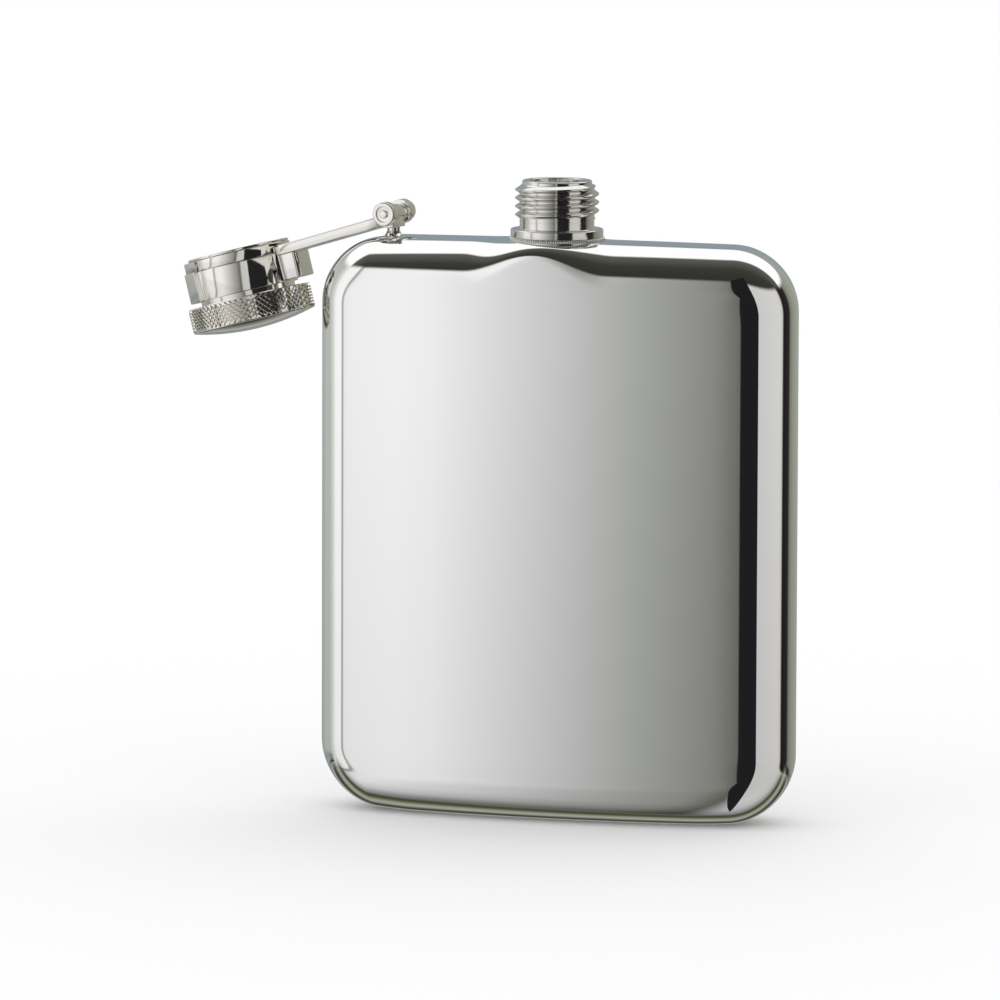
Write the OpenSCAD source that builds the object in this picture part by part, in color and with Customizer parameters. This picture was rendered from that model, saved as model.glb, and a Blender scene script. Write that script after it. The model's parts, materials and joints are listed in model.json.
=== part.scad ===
// Captive-top hip flask: a pressed and welded stainless body, a threaded neck,
// and a knurled screw cap that stays on the flask in the ring of a hinged arm.
// Origin: centre of the base, under the neck axis. +Z up, -Y the outward-curved front.

/* [Body] */
// Width of the body
body_w = 94; // [90:1:100]
// Height of the body at its middle, base to shoulder
body_h = 111.9; // [108:0.1:116]
// Thickness of the body, front to back
body_t = 22; // [21:0.5:24]
// Radius that the body is bent to, at its mid-thickness
bend_r = 175; // [160:5:260]
// Radius of the corners, seen from the front
corner_r = 12.6; // [12:0.2:15]
// Radius of the pressed edges, seen from the side
edge_r = 8.5; // [7:0.5:9]
// Thickness of the sheet
wall = 0.8; // [0.6:0.1:1]
// How far the base curves up at its ends
base_rise = 1.5; // [0:0.1:1.6]
// How far the shoulder falls from the neck to the corners
shoulder_fall = 0.5; // [0:0.1:1]

/* [Neck] */
// Bore of the mouth
mouth_d = 10.8; // [10:0.1:11]
// Outside of the rim
rim_d = 13.4; // [13:0.1:13.8]
// Outside of the thread
thread_d = 16.1; // [15.6:0.1:16.1]
// Bottom of the thread groove
thread_root_d = 14.6; // [14.2:0.1:15]
// Thread pitch
thread_pitch = 1.6; // [1.5:0.05:1.7]
// Flange that is welded to the shoulder
flange_d = 17.8; // [17:0.1:18]
// Height of the rim above the shoulder
neck_h = 11.4; // [11.2:0.1:11.4]

/* [Hinge] */
// Distance from the hinge pin to the neck axis
reach = 34.7; // [34:0.1:35]
// Height of the pin above the shoulder at the neck
pin_rise = 3.7; // [3.7:0.1:3.9]
// How far the hinge line is turned from the width, because the body is bent
arm_yaw = 8; // [7:0.5:9]
// Diameter of the hinge pin
pin_d = 1.6; // [1.4:0.1:1.8]
// How far the open arm drops below level
open_drop = 15; // [14:0.5:18]

/* [Cap] */
// Outside of the knurled head
head_d = 24.3; // [23.5:0.1:24.6]
// Outside of the threaded sleeve
sleeve_d = 18.6; // [18.5:0.1:18.7]
// Clear bore of the sleeve, over the tips of the neck thread
sleeve_bore = 17.3; // [17.2:0.1:17.4]
// Outside of the collar that the cap turns in
collar_d = 20.2; // [20.1:0.1:20.6]
// Play of the cap along its axis
cap_play = 0.9; // [0.6:0.1:0.9]

/* [Hidden] */

gap = 0.05;             // running clearance between faces that slide or turn
cut = 0.02;             // how far a cutter runs past a face

half_w = body_w / 2;
half_t = body_t / 2;
flat_t = half_t - edge_r;                // straight part of the edge, each side of the seam
mid_z = body_h / 2;
foot_cut = 0.1;                          // depth ground off the base to make its flat
foot_half = 26;                          // half-length of the level part of the base

flange_bottom = 0.5;                     // heights above the shoulder
flange_top = 2.1;
boss_depth = 4;
thread_bottom = 3.9;
thread_turns = 4;

pin_z = body_h + pin_rise;
barrel_r = 1.65;
barrel_l = 5.6;
ear_r = 2.35;
ear_w = 1.9;
fork_w = barrel_l + 2 * gap + 2 * ear_w; // across the outside of the two ears
fork_slot = 3.2;                         // pin axis to the end of the slot
foot_r = 2.3;

plate_bottom = 0.1;                      // heights above the pin axis, with the cap closed
plate_top = 2.1;
collar_top = 8;
head_bottom = 8.97;
head_top = 13.8;
dome_top = 15.4;
ring_r = 9.95;                           // retaining ring, and the rebate that it turns in
ring_t = 0.5;
rebate_r = 9;
lug_r = 9.45;                            // half-width of the block at the far side of the ring
boss_x = 13.6;                           // cap axis to the end of the boss under the arm
boss_half = 3.2;
turn_r = sleeve_d / 2 + 0.08;            // bore of the collar and the arm ring
seal_t = 1.2;
seal_bottom = neck_h - pin_rise + cap_play + gap;
sleeve_top = seal_bottom + seal_t + 1;

corner_steps = 8;
side_steps = 10;
edge_steps = 7;

// ---- the bent body: u runs along the width, w through the thickness, z up ----

// A point of the bent body
function bent(u, w, z) = let (turn = u / bend_r * 180 / PI)
    [(bend_r - w) * sin(turn), bend_r - (bend_r - w) * cos(turn), z];

// How much the base and the shoulder are shaped at a place along the width
function shaped_z(u, z) = let (
        past = max(0, abs(u) - foot_half) / (half_w - foot_half),
        low = 1 - z / body_h,
        high = z / body_h
    ) z + base_rise * past * past * low * low - shoulder_fall * pow(u / reach, 2) * high * high - foot_cut * low;

// Corner centres and the direction that each corner starts in
corner_at = [for (i = [0:3]) [
    (i == 0 || i == 3 ? 1 : -1) * (half_w - corner_r),
    (i < 2 ? 1 : -1) * (mid_z - corner_r),
    i * 90
]];

// The outline as [base u, base z, normal u, normal z], so that any inset is base + normal * (corner_r - inset)
outline = [for (i = [0:3]) let (here = corner_at[i], next = corner_at[(i + 1) % 4])
    each concat(
        [for (k = [0:corner_steps]) let (a = here[2] + 90 * k / corner_steps)
            [here[0], here[1], cos(a), sin(a)]],
        [for (k = [1:side_steps]) let (t = k / (side_steps + 1), a = here[2] + 90)
            [here[0] + (next[0] - here[0]) * t, here[1] + (next[1] - here[1]) * t, cos(a), sin(a)]]
    )
];
outline_n = len(outline);

// One ring of the shell: inset from the outline, shrunk towards the middle of the face, at depth w
function ring(inset, shrink, w) = [for (p = outline)
    let (u = (p[0] + p[2] * (corner_r - inset)) * shrink, z = (p[1] + p[3] * (corner_r - inset)) * shrink)
    bent(u, w, shaped_z(u, mid_z + z))
];

// The rings of one skin, from the seam to the middle of the face
function skin(side, inset, steps, shrinks) = let (r = edge_r - inset) concat(
    [ring(inset, 1, 0)],
    [for (k = [0:steps]) let (a = 90 * k / steps)
        ring(inset + r * (1 - cos(a)), 1, side * (flat_t + r * sin(a)))],
    [for (s = shrinks) ring(inset + r, s, side * (half_t - inset))]
);

// Triangles between two neighbouring rings of n points
function band(first, second, n, flip) = [for (i = [0:n - 1]) let (j = (i + 1) % n)
    each flip
        ? [[first + i, second + j, first + j], [first + i, second + i, second + j]]
        : [[first + i, first + j, second + j], [first + i, second + j, second + i]]
];

// Triangles from the last ring to the middle point
function fan(first, centre, n, flip) = [for (i = [0:n - 1]) let (j = (i + 1) % n)
    flip ? [first + i, centre, first + j] : [first + i, first + j, centre]
];

module shell_half(side) {
    outer = skin(side, 0, edge_steps, [0.85, 0.65, 0.4, 0.15]);
    inner = skin(side, wall, edge_steps - 2, [0.8, 0.5, 0.2]);
    n = outline_n;
    outer_n = len(outer);
    inner_n = len(inner);
    inner_at = outer_n * n;
    centre_at = inner_at + inner_n * n;
    points = concat(
        [for (r = outer) each r],
        [for (r = inner) each r],
        [bent(0, side * half_t, shaped_z(0, mid_z)), bent(0, side * (half_t - wall), shaped_z(0, mid_z))]
    );
    flip = side < 0;
    faces = concat(
        [for (k = [0:outer_n - 2]) each band(k * n, (k + 1) * n, n, !flip)],
        fan((outer_n - 1) * n, centre_at, n, !flip),
        [for (k = [0:inner_n - 2]) each band(inner_at + k * n, inner_at + (k + 1) * n, n, flip)],
        fan(inner_at + (inner_n - 1) * n, centre_at + 1, n, flip),
        band(0, inner_at, n, flip)
    );
    difference() {
        polyhedron(points = points, faces = faces, convexity = 6);
        translate([-body_w, -body_w, -2]) cube([2 * body_w, 2 * body_w, 2]);
        translate([0, 0, body_h - boss_depth]) cylinder(r = flange_d / 2, h = boss_depth + 2, $fn = 96);
        hinge_line() translate([-reach, 0, body_h - 1.2]) cylinder(r = foot_r, h = 3, $fn = 48);
    }
}

// ---- places ----

// The vertical plane through the hinge and the neck axis, laid along X
module hinge_line() {
    rotate([0, 0, -arm_yaw]) children();
}

// Arm and cap pieces are drawn closed, from the pin axis; this puts them in the open pose
module swung_open() {
    hinge_line() translate([-reach, 0, pin_z]) rotate([0, -(180 + open_drop), 0]) children();
}

// The cap axis, from the pin axis
module at_cap() {
    swung_open() translate([reach, 0, 0]) children();
}

// A tube between two radii
module tube(inner_r, outer_r, bottom, top) {
    rotate_extrude($fn = 120) translate([inner_r, bottom]) square([outer_r - inner_r, top - bottom]);
}

// ---- the flask ----

module front_shell() {
    color("gainsboro") shell_half(-1);
}

module back_shell() {
    color("gainsboro") shell_half(1);
}

// Threaded spout, flange and the boss that closes the hole in the shoulder
module neck() {
    bore = mouth_d / 2;
    root = thread_root_d / 2;
    rim = rim_d / 2;
    color("silver") translate([0, 0, body_h]) {
        rotate_extrude($fn = 120) polygon([
            [bore, -boss_depth], [flange_d / 2, -boss_depth], [flange_d / 2, flange_top - 0.2],
            [flange_d / 2 - 0.2, flange_top], [root - 0.2, flange_top], [root - 0.2, thread_bottom - 0.5],
            [root, thread_bottom - 0.4], [root, neck_h - 0.9], [rim, neck_h - 0.6], [rim, neck_h - 0.3],
            [rim - 0.3, neck_h], [bore + 0.2, neck_h], [bore, neck_h - 0.2]
        ]);
        for (i = [0:thread_turns - 1])
            translate([0, 0, thread_bottom + i * thread_pitch]) thread_ridge(root, thread_d / 2);
    }
}

// One turn of the thread, drawn as a level ridge
module thread_ridge(root, crest) {
    rotate_extrude($fn = 120) polygon([
        [root - 0.3, 0], [root, 0], [crest, 0.55], [crest, 0.85], [root, 1.4], [root - 0.3, 1.4]
    ]);
}

// Bead between the flange and the shoulder
module neck_weld() {
    color("silver") translate([0, 0, body_h]) tube(flange_d / 2, flange_d / 2 + 0.4, 0.02, flange_bottom);
}

// Post on the shoulder: a foot, a stem, a square web and the barrel that the pin turns in
module hinge_post() {
    foot_bottom = body_h - 1.2 - pin_z;
    stem_bottom = -pin_rise;
    web_bottom = -2.7;
    color("silver") hinge_line() translate([-reach, 0, pin_z]) difference() {
        union() {
            translate([0, 0, foot_bottom]) cylinder(r = foot_r, h = stem_bottom - foot_bottom, $fn = 48);
            rotate_extrude($fn = 48) polygon([
                [0, stem_bottom - 0.1], [foot_r, stem_bottom - 0.1], [foot_r, stem_bottom], [1.5, web_bottom - 0.3],
                [1.5, web_bottom + 0.2], [0, web_bottom + 0.2]
            ]);
            translate([-1.2, -barrel_l / 2, web_bottom]) cube([2.4, barrel_l, -web_bottom - 0.9]);
            rotate([90, 0, 0]) cylinder(r = barrel_r, h = barrel_l, center = true, $fn = 64);
        }
        rotate([90, 0, 0]) cylinder(r = pin_d / 2 + gap, h = barrel_l + 2, center = true, $fn = 64);
    }
}

// ---- the arm ----

// Plan of the far side of the ring: a block with its corners cut off
module far_block(half) {
    cut_x = half * 0.62;
    polygon([[0, -half], [cut_x, -half], [collar_d / 2, -half * 0.55],
             [collar_d / 2, half * 0.55], [cut_x, half], [0, half]]);
}

// Flat bar with two ears round the pin, and the ring that carries the collar
module arm_plate() {
    plate_t = plate_top - plate_bottom;
    color("silver") swung_open() difference() {
        union() {
            translate([0, 0, plate_bottom]) linear_extrude(plate_t) polygon([
                [0, -fork_w / 2], [fork_slot + 1.5, -fork_w / 2], [reach - boss_x, -boss_half - 0.4],
                [reach - 8, -boss_half - 0.4], [reach - 8, boss_half + 0.4], [reach - boss_x, boss_half + 0.4],
                [fork_slot + 1.5, fork_w / 2], [0, fork_w / 2]
            ]);
            translate([reach, 0, plate_bottom]) linear_extrude(plate_t) union() {
                circle(d = collar_d, $fn = 120);
                far_block(lug_r - 0.3);
            }
            for (side = [-1, 1])
                translate([0, side * (fork_w - ear_w) / 2, 0])
                    rotate([90, 0, 0]) cylinder(r = ear_r, h = ear_w, center = true, $fn = 64);
        }
        translate([-ear_r - 1, -barrel_l / 2 - gap, -ear_r - 1])
            cube([fork_slot + ear_r + 1, barrel_l + 2 * gap, 2 * ear_r + 2]);
        rotate([90, 0, 0]) cylinder(r = pin_d / 2, h = fork_w + 2, center = true, $fn = 64);
        translate([0, -fork_w / 2 - cut, 0]) rotate([-90, 0, 0]) cylinder(r = 1.5, h = 0.35, $fn = 64);
        translate([reach, 0, plate_bottom - 1]) cylinder(r = turn_r, h = plate_t + 2, $fn = 120);
    }
}

// Deep ring soldered to the arm plate, with a boss under the arm
module collar() {
    collar_t = collar_top - plate_top;
    color("silver") at_cap() difference() {
        union() {
            translate([0, 0, plate_top]) linear_extrude(collar_t) union() {
                circle(d = collar_d, $fn = 120);
                far_block(lug_r);
            }
            translate([-boss_x, -boss_half, plate_top]) cube([boss_x - 8, 2 * boss_half, collar_t - 0.3]);
        }
        translate([0, 0, plate_top - 1]) cylinder(r = turn_r, h = collar_t + 2, $fn = 120);
    }
}

// Pin through the ears and the barrel
module hinge_pin() {
    color("silver") swung_open() translate([0, -fork_w / 2 - 0.1, 0])
        rotate([-90, 0, 0]) cylinder(r = pin_d / 2, h = fork_w + 2.1, $fn = 64);
}

// Round nut on the back end of the pin
module hinge_nut() {
    color("silver") swung_open() translate([0, fork_w / 2, 0]) rotate([-90, 0, 0])
        rotate_extrude($fn = 64) polygon([
            [pin_d / 2, 0], [2, 0], [2, 0.9], [1.6, 1.4], [pin_d / 2, 1.4]
        ]);
}

// ---- the cap ----

// Knurled head with a shallow dome, bored to sit on the sleeve
module cap_head() {
    r = head_d / 2;
    dome_h = dome_top - head_top;
    dome_r = (r * r + dome_h * dome_h) / (2 * dome_h);
    recess = sleeve_top;
    color("darkgray") at_cap() {
        difference() {
            union() {
                rotate_extrude($fn = 120) polygon([
                    [0, head_bottom], [r - 0.3, head_bottom], [r, head_bottom + 0.3], [r, head_top - 0.2],
                    [r - 0.2, head_top], [0, head_top]
                ]);
                intersection() {
                    translate([0, 0, dome_top - dome_r]) sphere(r = dome_r, $fn = 240);
                    translate([0, 0, head_top - 0.1]) cylinder(r = r - 0.2, h = dome_h + 1, $fn = 120);
                }
            }
            translate([0, 0, head_bottom - 1]) cylinder(d = sleeve_d, h = recess - head_bottom + 1, $fn = 120);
        }
    }
}

// Closed sleeve that screws on to the neck
module cap_sleeve() {
    bore = sleeve_bore / 2;
    shoulder = plate_bottom - gap;
    color("silver") at_cap() rotate_extrude($fn = 120) polygon([
        [bore, shoulder - ring_t], [rebate_r, shoulder - ring_t], [rebate_r, shoulder], [sleeve_d / 2, shoulder],
        [sleeve_d / 2, sleeve_top], [0, sleeve_top], [0, sleeve_top - 1], [bore, sleeve_top - 1]
    ]);
}

// Disc that closes on the rim of the mouth
module cap_seal() {
    color("ivory") at_cap() translate([0, 0, seal_bottom])
        cylinder(d = sleeve_bore, h = seal_t, $fn = 120);
}

// Ring in the rebate at the open end of the sleeve, which keeps the cap in the collar
module retaining_ring() {
    bottom = plate_bottom - gap - ring_t;
    top = plate_bottom - gap - 0.02;
    color("silver") at_cap() rotate_extrude($fn = 120) polygon([
        [rebate_r + gap, bottom], [ring_r - 0.2, bottom], [ring_r, bottom + 0.2], [ring_r, top], [rebate_r + gap, top]
    ]);
}

front_shell();
back_shell();
neck();
neck_weld();
hinge_post();
arm_plate();
collar();
hinge_pin();
hinge_nut();
cap_head();
cap_sleeve();
cap_seal();
retaining_ring();
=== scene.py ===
import json
import math

import bmesh
import bpy
import numpy as np
from mathutils import Matrix, Vector


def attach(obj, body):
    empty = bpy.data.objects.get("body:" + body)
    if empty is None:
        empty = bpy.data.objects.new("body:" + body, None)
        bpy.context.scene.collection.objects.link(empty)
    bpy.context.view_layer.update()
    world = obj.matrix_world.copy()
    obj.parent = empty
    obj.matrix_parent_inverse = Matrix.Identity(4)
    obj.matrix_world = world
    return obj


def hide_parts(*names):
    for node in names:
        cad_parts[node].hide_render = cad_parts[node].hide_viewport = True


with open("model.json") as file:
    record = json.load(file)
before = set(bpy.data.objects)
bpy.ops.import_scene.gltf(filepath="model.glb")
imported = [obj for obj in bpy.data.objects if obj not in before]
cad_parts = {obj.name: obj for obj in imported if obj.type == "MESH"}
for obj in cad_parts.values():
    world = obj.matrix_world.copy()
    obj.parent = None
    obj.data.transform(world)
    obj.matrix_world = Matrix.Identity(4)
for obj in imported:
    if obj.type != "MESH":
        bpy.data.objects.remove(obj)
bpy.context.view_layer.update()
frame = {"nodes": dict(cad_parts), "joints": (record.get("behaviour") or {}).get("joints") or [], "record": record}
print("frame loaded:", len(frame["nodes"]), "nodes")

mm = 0.001
joints = {j["name"]: j for j in frame["joints"]}

# Camera: where it stands, seen from the flask, and how it is aimed
camera = {
    "yaw": 17.04,        # degrees to the right of the front
    "elevation": 6.79,
    "distance": 1.9218,
    "lens": 359.8,
    "roll": 0.19,
    "aimRight": -0.010746,
    "aimUp": 0.004652,
    "pivotHeight": 0.05685,
}


def placeCamera(c):
    yaw, elevation = math.radians(c["yaw"]), math.radians(c["elevation"])
    level = math.cos(elevation)
    back = Vector((math.sin(yaw) * level, -math.cos(yaw) * level, math.sin(elevation)))
    right = Vector((math.cos(yaw), math.sin(yaw), 0))
    up = back.cross(right)
    aim = Vector((0, 0, c["pivotHeight"])) + right * c["aimRight"] + up * c["aimUp"]
    data = bpy.data.cameras.new("camera")
    data.lens = c["lens"]
    data.sensor_width = 36
    data.clip_start = 0.1
    data.clip_end = 50
    obj = bpy.data.objects.new("camera", data)
    bpy.context.scene.collection.objects.link(obj)
    turn = Matrix((right, up, back)).transposed() @ Matrix.Rotation(math.radians(c["roll"]), 3, "Z")
    obj.matrix_world = Matrix.Translation(aim + back * c["distance"]) @ turn.to_4x4()
    bpy.context.scene.camera = obj


placeCamera(camera)


def newNode(tree, kind, **values):
    node = tree.nodes.new(kind)
    for key, value in values.items():
        setattr(node, key, value)
    return node


def ramp(tree, factor, stops):
    node = newNode(tree, "ShaderNodeValToRGB")
    node.color_ramp.interpolation = "LINEAR"
    elements = node.color_ramp.elements
    while len(elements) < len(stops):
        elements.new(0.5)
    for element, (place, colour) in zip(elements, stops):
        element.position = place
        element.color = (*colour, 1) if isinstance(colour, tuple) else (colour, colour, colour, 1)
    tree.links.new(factor, node.inputs[0])
    return node.outputs[0]


def maths(tree, operation, *inputs, clamp=False):
    node = newNode(tree, "ShaderNodeMath", operation=operation, use_clamp=clamp)
    for socket, value in zip(node.inputs, inputs):
        if isinstance(value, (int, float)):
            socket.default_value = value
        else:
            tree.links.new(value, socket)
    return node.outputs[0]


# Studio: what the polished steel reflects, with painted shade below the level for the flask's own shadow on the
# floor under it. All directions are in degrees.
studio = {
    "round": [      # level tone by direction round the flask, 0 towards +X, -90 to the front
        (-180, (0.55, 0.56, 0.53)), (-168, (0.74, 0.74, 0.72)), (-164, 0.92), (-158, 1.0),
        (-143, (1.0, 1.0, 1.02)), (-141.5, (0.42, 0.40, 0.37)), (-139, (0.42, 0.40, 0.37)),
        (-137, 0.84), (-134, (0.93, 0.93, 0.93)), (-126, (0.97, 0.97, 0.98)), (-121, (0.93, 0.93, 0.94)),
        (-108, (0.68, 0.68, 0.69)), (-95, (0.42, 0.43, 0.41)), (-85, (0.27, 0.275, 0.255)),
        (-83.5, (0.22, 0.225, 0.20)), (-82.2, (0.17, 0.175, 0.15)), (-80, (0.13, 0.13, 0.12)),
        (-76, (0.60, 0.61, 0.61)), (-60, (0.64, 0.645, 0.65)), (-40, (0.67, 0.67, 0.65)),
        (-8, (0.71, 0.70, 0.68)), (1, (0.66, 0.66, 0.63)), (6, (0.02, 0.01, 0.01)),
        (27, (0.022, 0.026, 0.026)), (33, (0.20, 0.21, 0.17)), (46, (0.30, 0.31, 0.26)),
        (80, (0.38, 0.39, 0.34)), (108, (0.26, 0.32, 0.35)), (160, (0.51, 0.52, 0.49)),
    ],
    "over": [       # overhead tone, from the front edge of the sky over to the back
        (0, 0.034), (45, (0.036, 0.037, 0.030)), (65, (0.047, 0.047, 0.039)), (80, (0.085, 0.088, 0.078)),
        (92, (0.12, 0.115, 0.10)), (97, 1.12), (140, 1.12), (145, (0.27, 0.31, 0.335)),
        (180, (0.27, 0.315, 0.34)),
    ],
    "overFrom": 26, "overTo": 34,       # height where the overhead tone takes over
    "fall": [(0, 1.0), (6, 1.0), (8.3, 0.89), (10, 0.87), (35, 0.90), (55, 1.0)],      # dimmer just below level
    "paintedShadeFront": [(0, 1.0), (60, 0.92), (78, 0.78), (89, 0.50), (98, 0.32), (180, 0.3)],    # under the front: painted shade, darker towards the floor straight under the flask
    "paintedShadeBack": [    # under the back: painted shade, the floor under and behind the flask, darkest in the flask's own shadow
        (0, 0.2), (96, (0.20, 0.19, 0.15)), (101, (0.07, 0.075, 0.045)), (108, (0.075, 0.08, 0.05)),
        (115, (0.27, 0.26, 0.20)), (124, (0.40, 0.42, 0.35)), (130, (0.22, 0.21, 0.17)),
        (138, (0.05, 0.048, 0.035)), (145, (0.05, 0.05, 0.04)), (153, (0.34, 0.35, 0.34)),
        (180, (0.42, 0.43, 0.42)),
    ],
    "lowFrom": 12, "lowTo": 30,         # drop where the low tones take over
    "backFrom": 95, "backTo": 99,       # where the front's low tone gives way to the back's
    "roomLight": 1.05,
}


def buildWorld(s, yaw):
    world = bpy.data.worlds.new("studio")
    bpy.context.scene.world = world
    world.use_nodes = True
    tree = world.node_tree
    tree.nodes.clear()
    place = newNode(tree, "ShaderNodeTexCoord")
    split = newNode(tree, "ShaderNodeSeparateXYZ")
    tree.links.new(place.outputs["Generated"], split.inputs[0])
    x, y, z = split.outputs

    def degreesRamp(angle, stops, low, high):
        scale = 1 / math.radians(high - low)
        part = maths(tree, "MULTIPLY_ADD", angle, scale, -low / (high - low), clamp=True)
        return ramp(tree, part, [((a - low) / (high - low), c) for a, c in stops])

    def blend(weight, first, second, kind="MIX"):
        node = newNode(tree, "ShaderNodeMix", data_type="RGBA", blend_type=kind)
        for socket, value in ((0, weight), (6, first), (7, second)):
            if isinstance(value, (int, float)):
                node.inputs[socket].default_value = value
            else:
                tree.links.new(value, node.inputs[socket])
        return node.outputs[2]

    def between(angle, low, high):
        node = newNode(tree, "ShaderNodeMapRange", interpolation_type="SMOOTHSTEP")
        node.inputs["From Min"].default_value = math.radians(low)
        node.inputs["From Max"].default_value = math.radians(high)
        tree.links.new(angle, node.inputs["Value"])
        return node.outputs[0]

    def along(partX, partY):
        return maths(tree, "ADD", maths(tree, "MULTIPLY", x, partX), maths(tree, "MULTIPLY", y, partY))

    rise = maths(tree, "ARCSINE", z)
    drop = maths(tree, "MULTIPLY", rise, -1.0)
    forward = along(math.sin(yaw), -math.cos(yaw))
    side = along(math.cos(yaw), math.sin(yaw))
    over = maths(tree, "ARCTAN2", z, forward)
    under = maths(tree, "MULTIPLY", over, -1.0)
    lowWeight = between(drop, s["lowFrom"], s["lowTo"])
    turn = maths(tree, "ARCTAN2", y, x)
    flatTurn = maths(tree, "ADD", maths(tree, "ARCSINE", side), yaw - math.pi / 2)
    shift = maths(tree, "MULTIPLY", lowWeight, maths(tree, "SUBTRACT", flatTurn, turn))
    byTurn = degreesRamp(maths(tree, "ADD", turn, shift), s["round"], -180, 180)
    level = blend(1.0, byTurn, degreesRamp(drop, s["fall"], 0, 90), "MULTIPLY")
    # level tones darkened by the painted shade under the flask
    front = blend(1.0, level, degreesRamp(under, s["paintedShadeFront"], 0, 180), "MULTIPLY")
    backWeight = between(under, s["backFrom"], s["backTo"])
    # below and behind: painted shade of the flask's shadow on the floor
    low = blend(backWeight, front, degreesRamp(under, s["paintedShadeBack"], 0, 180))
    belowWithPaintedShade = blend(lowWeight, level, low)
    overWeight = between(rise, s["overFrom"], s["overTo"])
    whole = blend(overWeight, belowWithPaintedShade, degreesRamp(over, s["over"], 0, 180))
    reflected = newNode(tree, "ShaderNodeBackground")
    tree.links.new(whole, reflected.inputs["Color"])
    plain = newNode(tree, "ShaderNodeBackground")
    plain.inputs["Color"].default_value = (1, 1, 1, 1)
    plain.inputs["Strength"].default_value = s["roomLight"]
    ray = newNode(tree, "ShaderNodeLightPath")
    mix = newNode(tree, "ShaderNodeMixShader")
    tree.links.new(ray.outputs["Is Glossy Ray"], mix.inputs[0])
    tree.links.new(plain.outputs[0], mix.inputs[1])
    tree.links.new(reflected.outputs[0], mix.inputs[2])
    out = newNode(tree, "ShaderNodeOutputWorld")
    tree.links.new(mix.outputs[0], out.inputs[0])


buildWorld(studio, math.radians(camera["yaw"]))
bpy.context.scene.view_settings.view_transform = "Standard"

floorSizes = {"half": 6, "colour": (0.98, 0.98, 0.98, 1), "rough": 0.9}


def buildFloor(f):
    mesh = bpy.data.meshes.new("floor")
    corners = [(x * f["half"], y * f["half"], 0) for x, y in ((-1, -1), (1, -1), (1, 1), (-1, 1))]
    mesh.from_pydata(corners, [], [(0, 1, 2, 3)])
    obj = bpy.data.objects.new("floor", mesh)
    bpy.context.scene.collection.objects.link(obj)
    material = bpy.data.materials.new("paleFloor")
    material.use_nodes = True
    shader = material.node_tree.nodes["Principled BSDF"]
    shader.inputs["Base Color"].default_value = f["colour"]
    shader.inputs["Roughness"].default_value = f["rough"]
    mesh.materials.append(material)
    obj.visible_glossy = False


buildFloor(floorSizes)


# Dark flag beside the flask, in mm: its reflection is the dark line down the neck, the collar and the edge
flag = {
    "near": (62, -45), "far": (78.5, -265), "low": -700, "nearTop": 152, "farTop": 274,
    "colour": (0.014, 0.014, 0.0154, 1),
}


def buildFlag(f):
    corners = [
        (*f["near"], f["low"]), (*f["far"], f["low"]), (*f["far"], f["farTop"]), (*f["near"], f["nearTop"]),
    ]
    mesh = bpy.data.meshes.new("flag")
    mesh.from_pydata([tuple(c * mm for c in corner) for corner in corners], [], [(0, 1, 2, 3)])
    obj = bpy.data.objects.new("flag", mesh)
    bpy.context.scene.collection.objects.link(obj)
    material = bpy.data.materials.new("blackCloth")
    material.use_nodes = True
    tree = material.node_tree
    tree.nodes.clear()
    glow = newNode(tree, "ShaderNodeEmission")
    glow.inputs["Color"].default_value = f["colour"]
    out = newNode(tree, "ShaderNodeOutputMaterial")
    tree.links.new(glow.outputs[0], out.inputs[0])
    mesh.materials.append(material)
    obj.visible_camera = False
    obj.visible_diffuse = False
    obj.visible_shadow = False


buildFlag(flag)


# Steel finishes: smear is how much the polish varies, scratch and grain are the fine marks left by turning
finishes = {
    "body_steel": {
        "colour": (0.90, 0.90, 0.895), "rough": 0.018, "smear": 0.02, "scratch": 0.0, "grain": (1, 1, 1),
    },
    "neck_steel": {
        "colour": (0.80, 0.785, 0.755), "rough": 0.075, "smear": 0.05, "scratch": 0.06, "grain": (60, 60, 6000),
    },
    "weld_steel": {
        "colour": (0.72, 0.715, 0.70), "rough": 0.16, "smear": 0.08, "scratch": 0.03, "grain": (900, 900, 900),
    },
    "arm_steel": {
        "colour": (0.90, 0.875, 0.83), "rough": 0.05, "smear": 0.04, "scratch": 0.02, "grain": (500, 500, 4000),
    },
    "cap_steel": {
        "colour": (0.90, 0.87, 0.81), "rough": 0.06, "smear": 0.05, "scratch": 0.01, "grain": (500, 500, 500),
    },
}
polish = {
    "smearScale": 45, "smearDetail": 4, "smearFrom": 0.35, "smearTo": 0.75, "grainDetail": 3,
    "scratchDeep": 0.0002,
}


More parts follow.
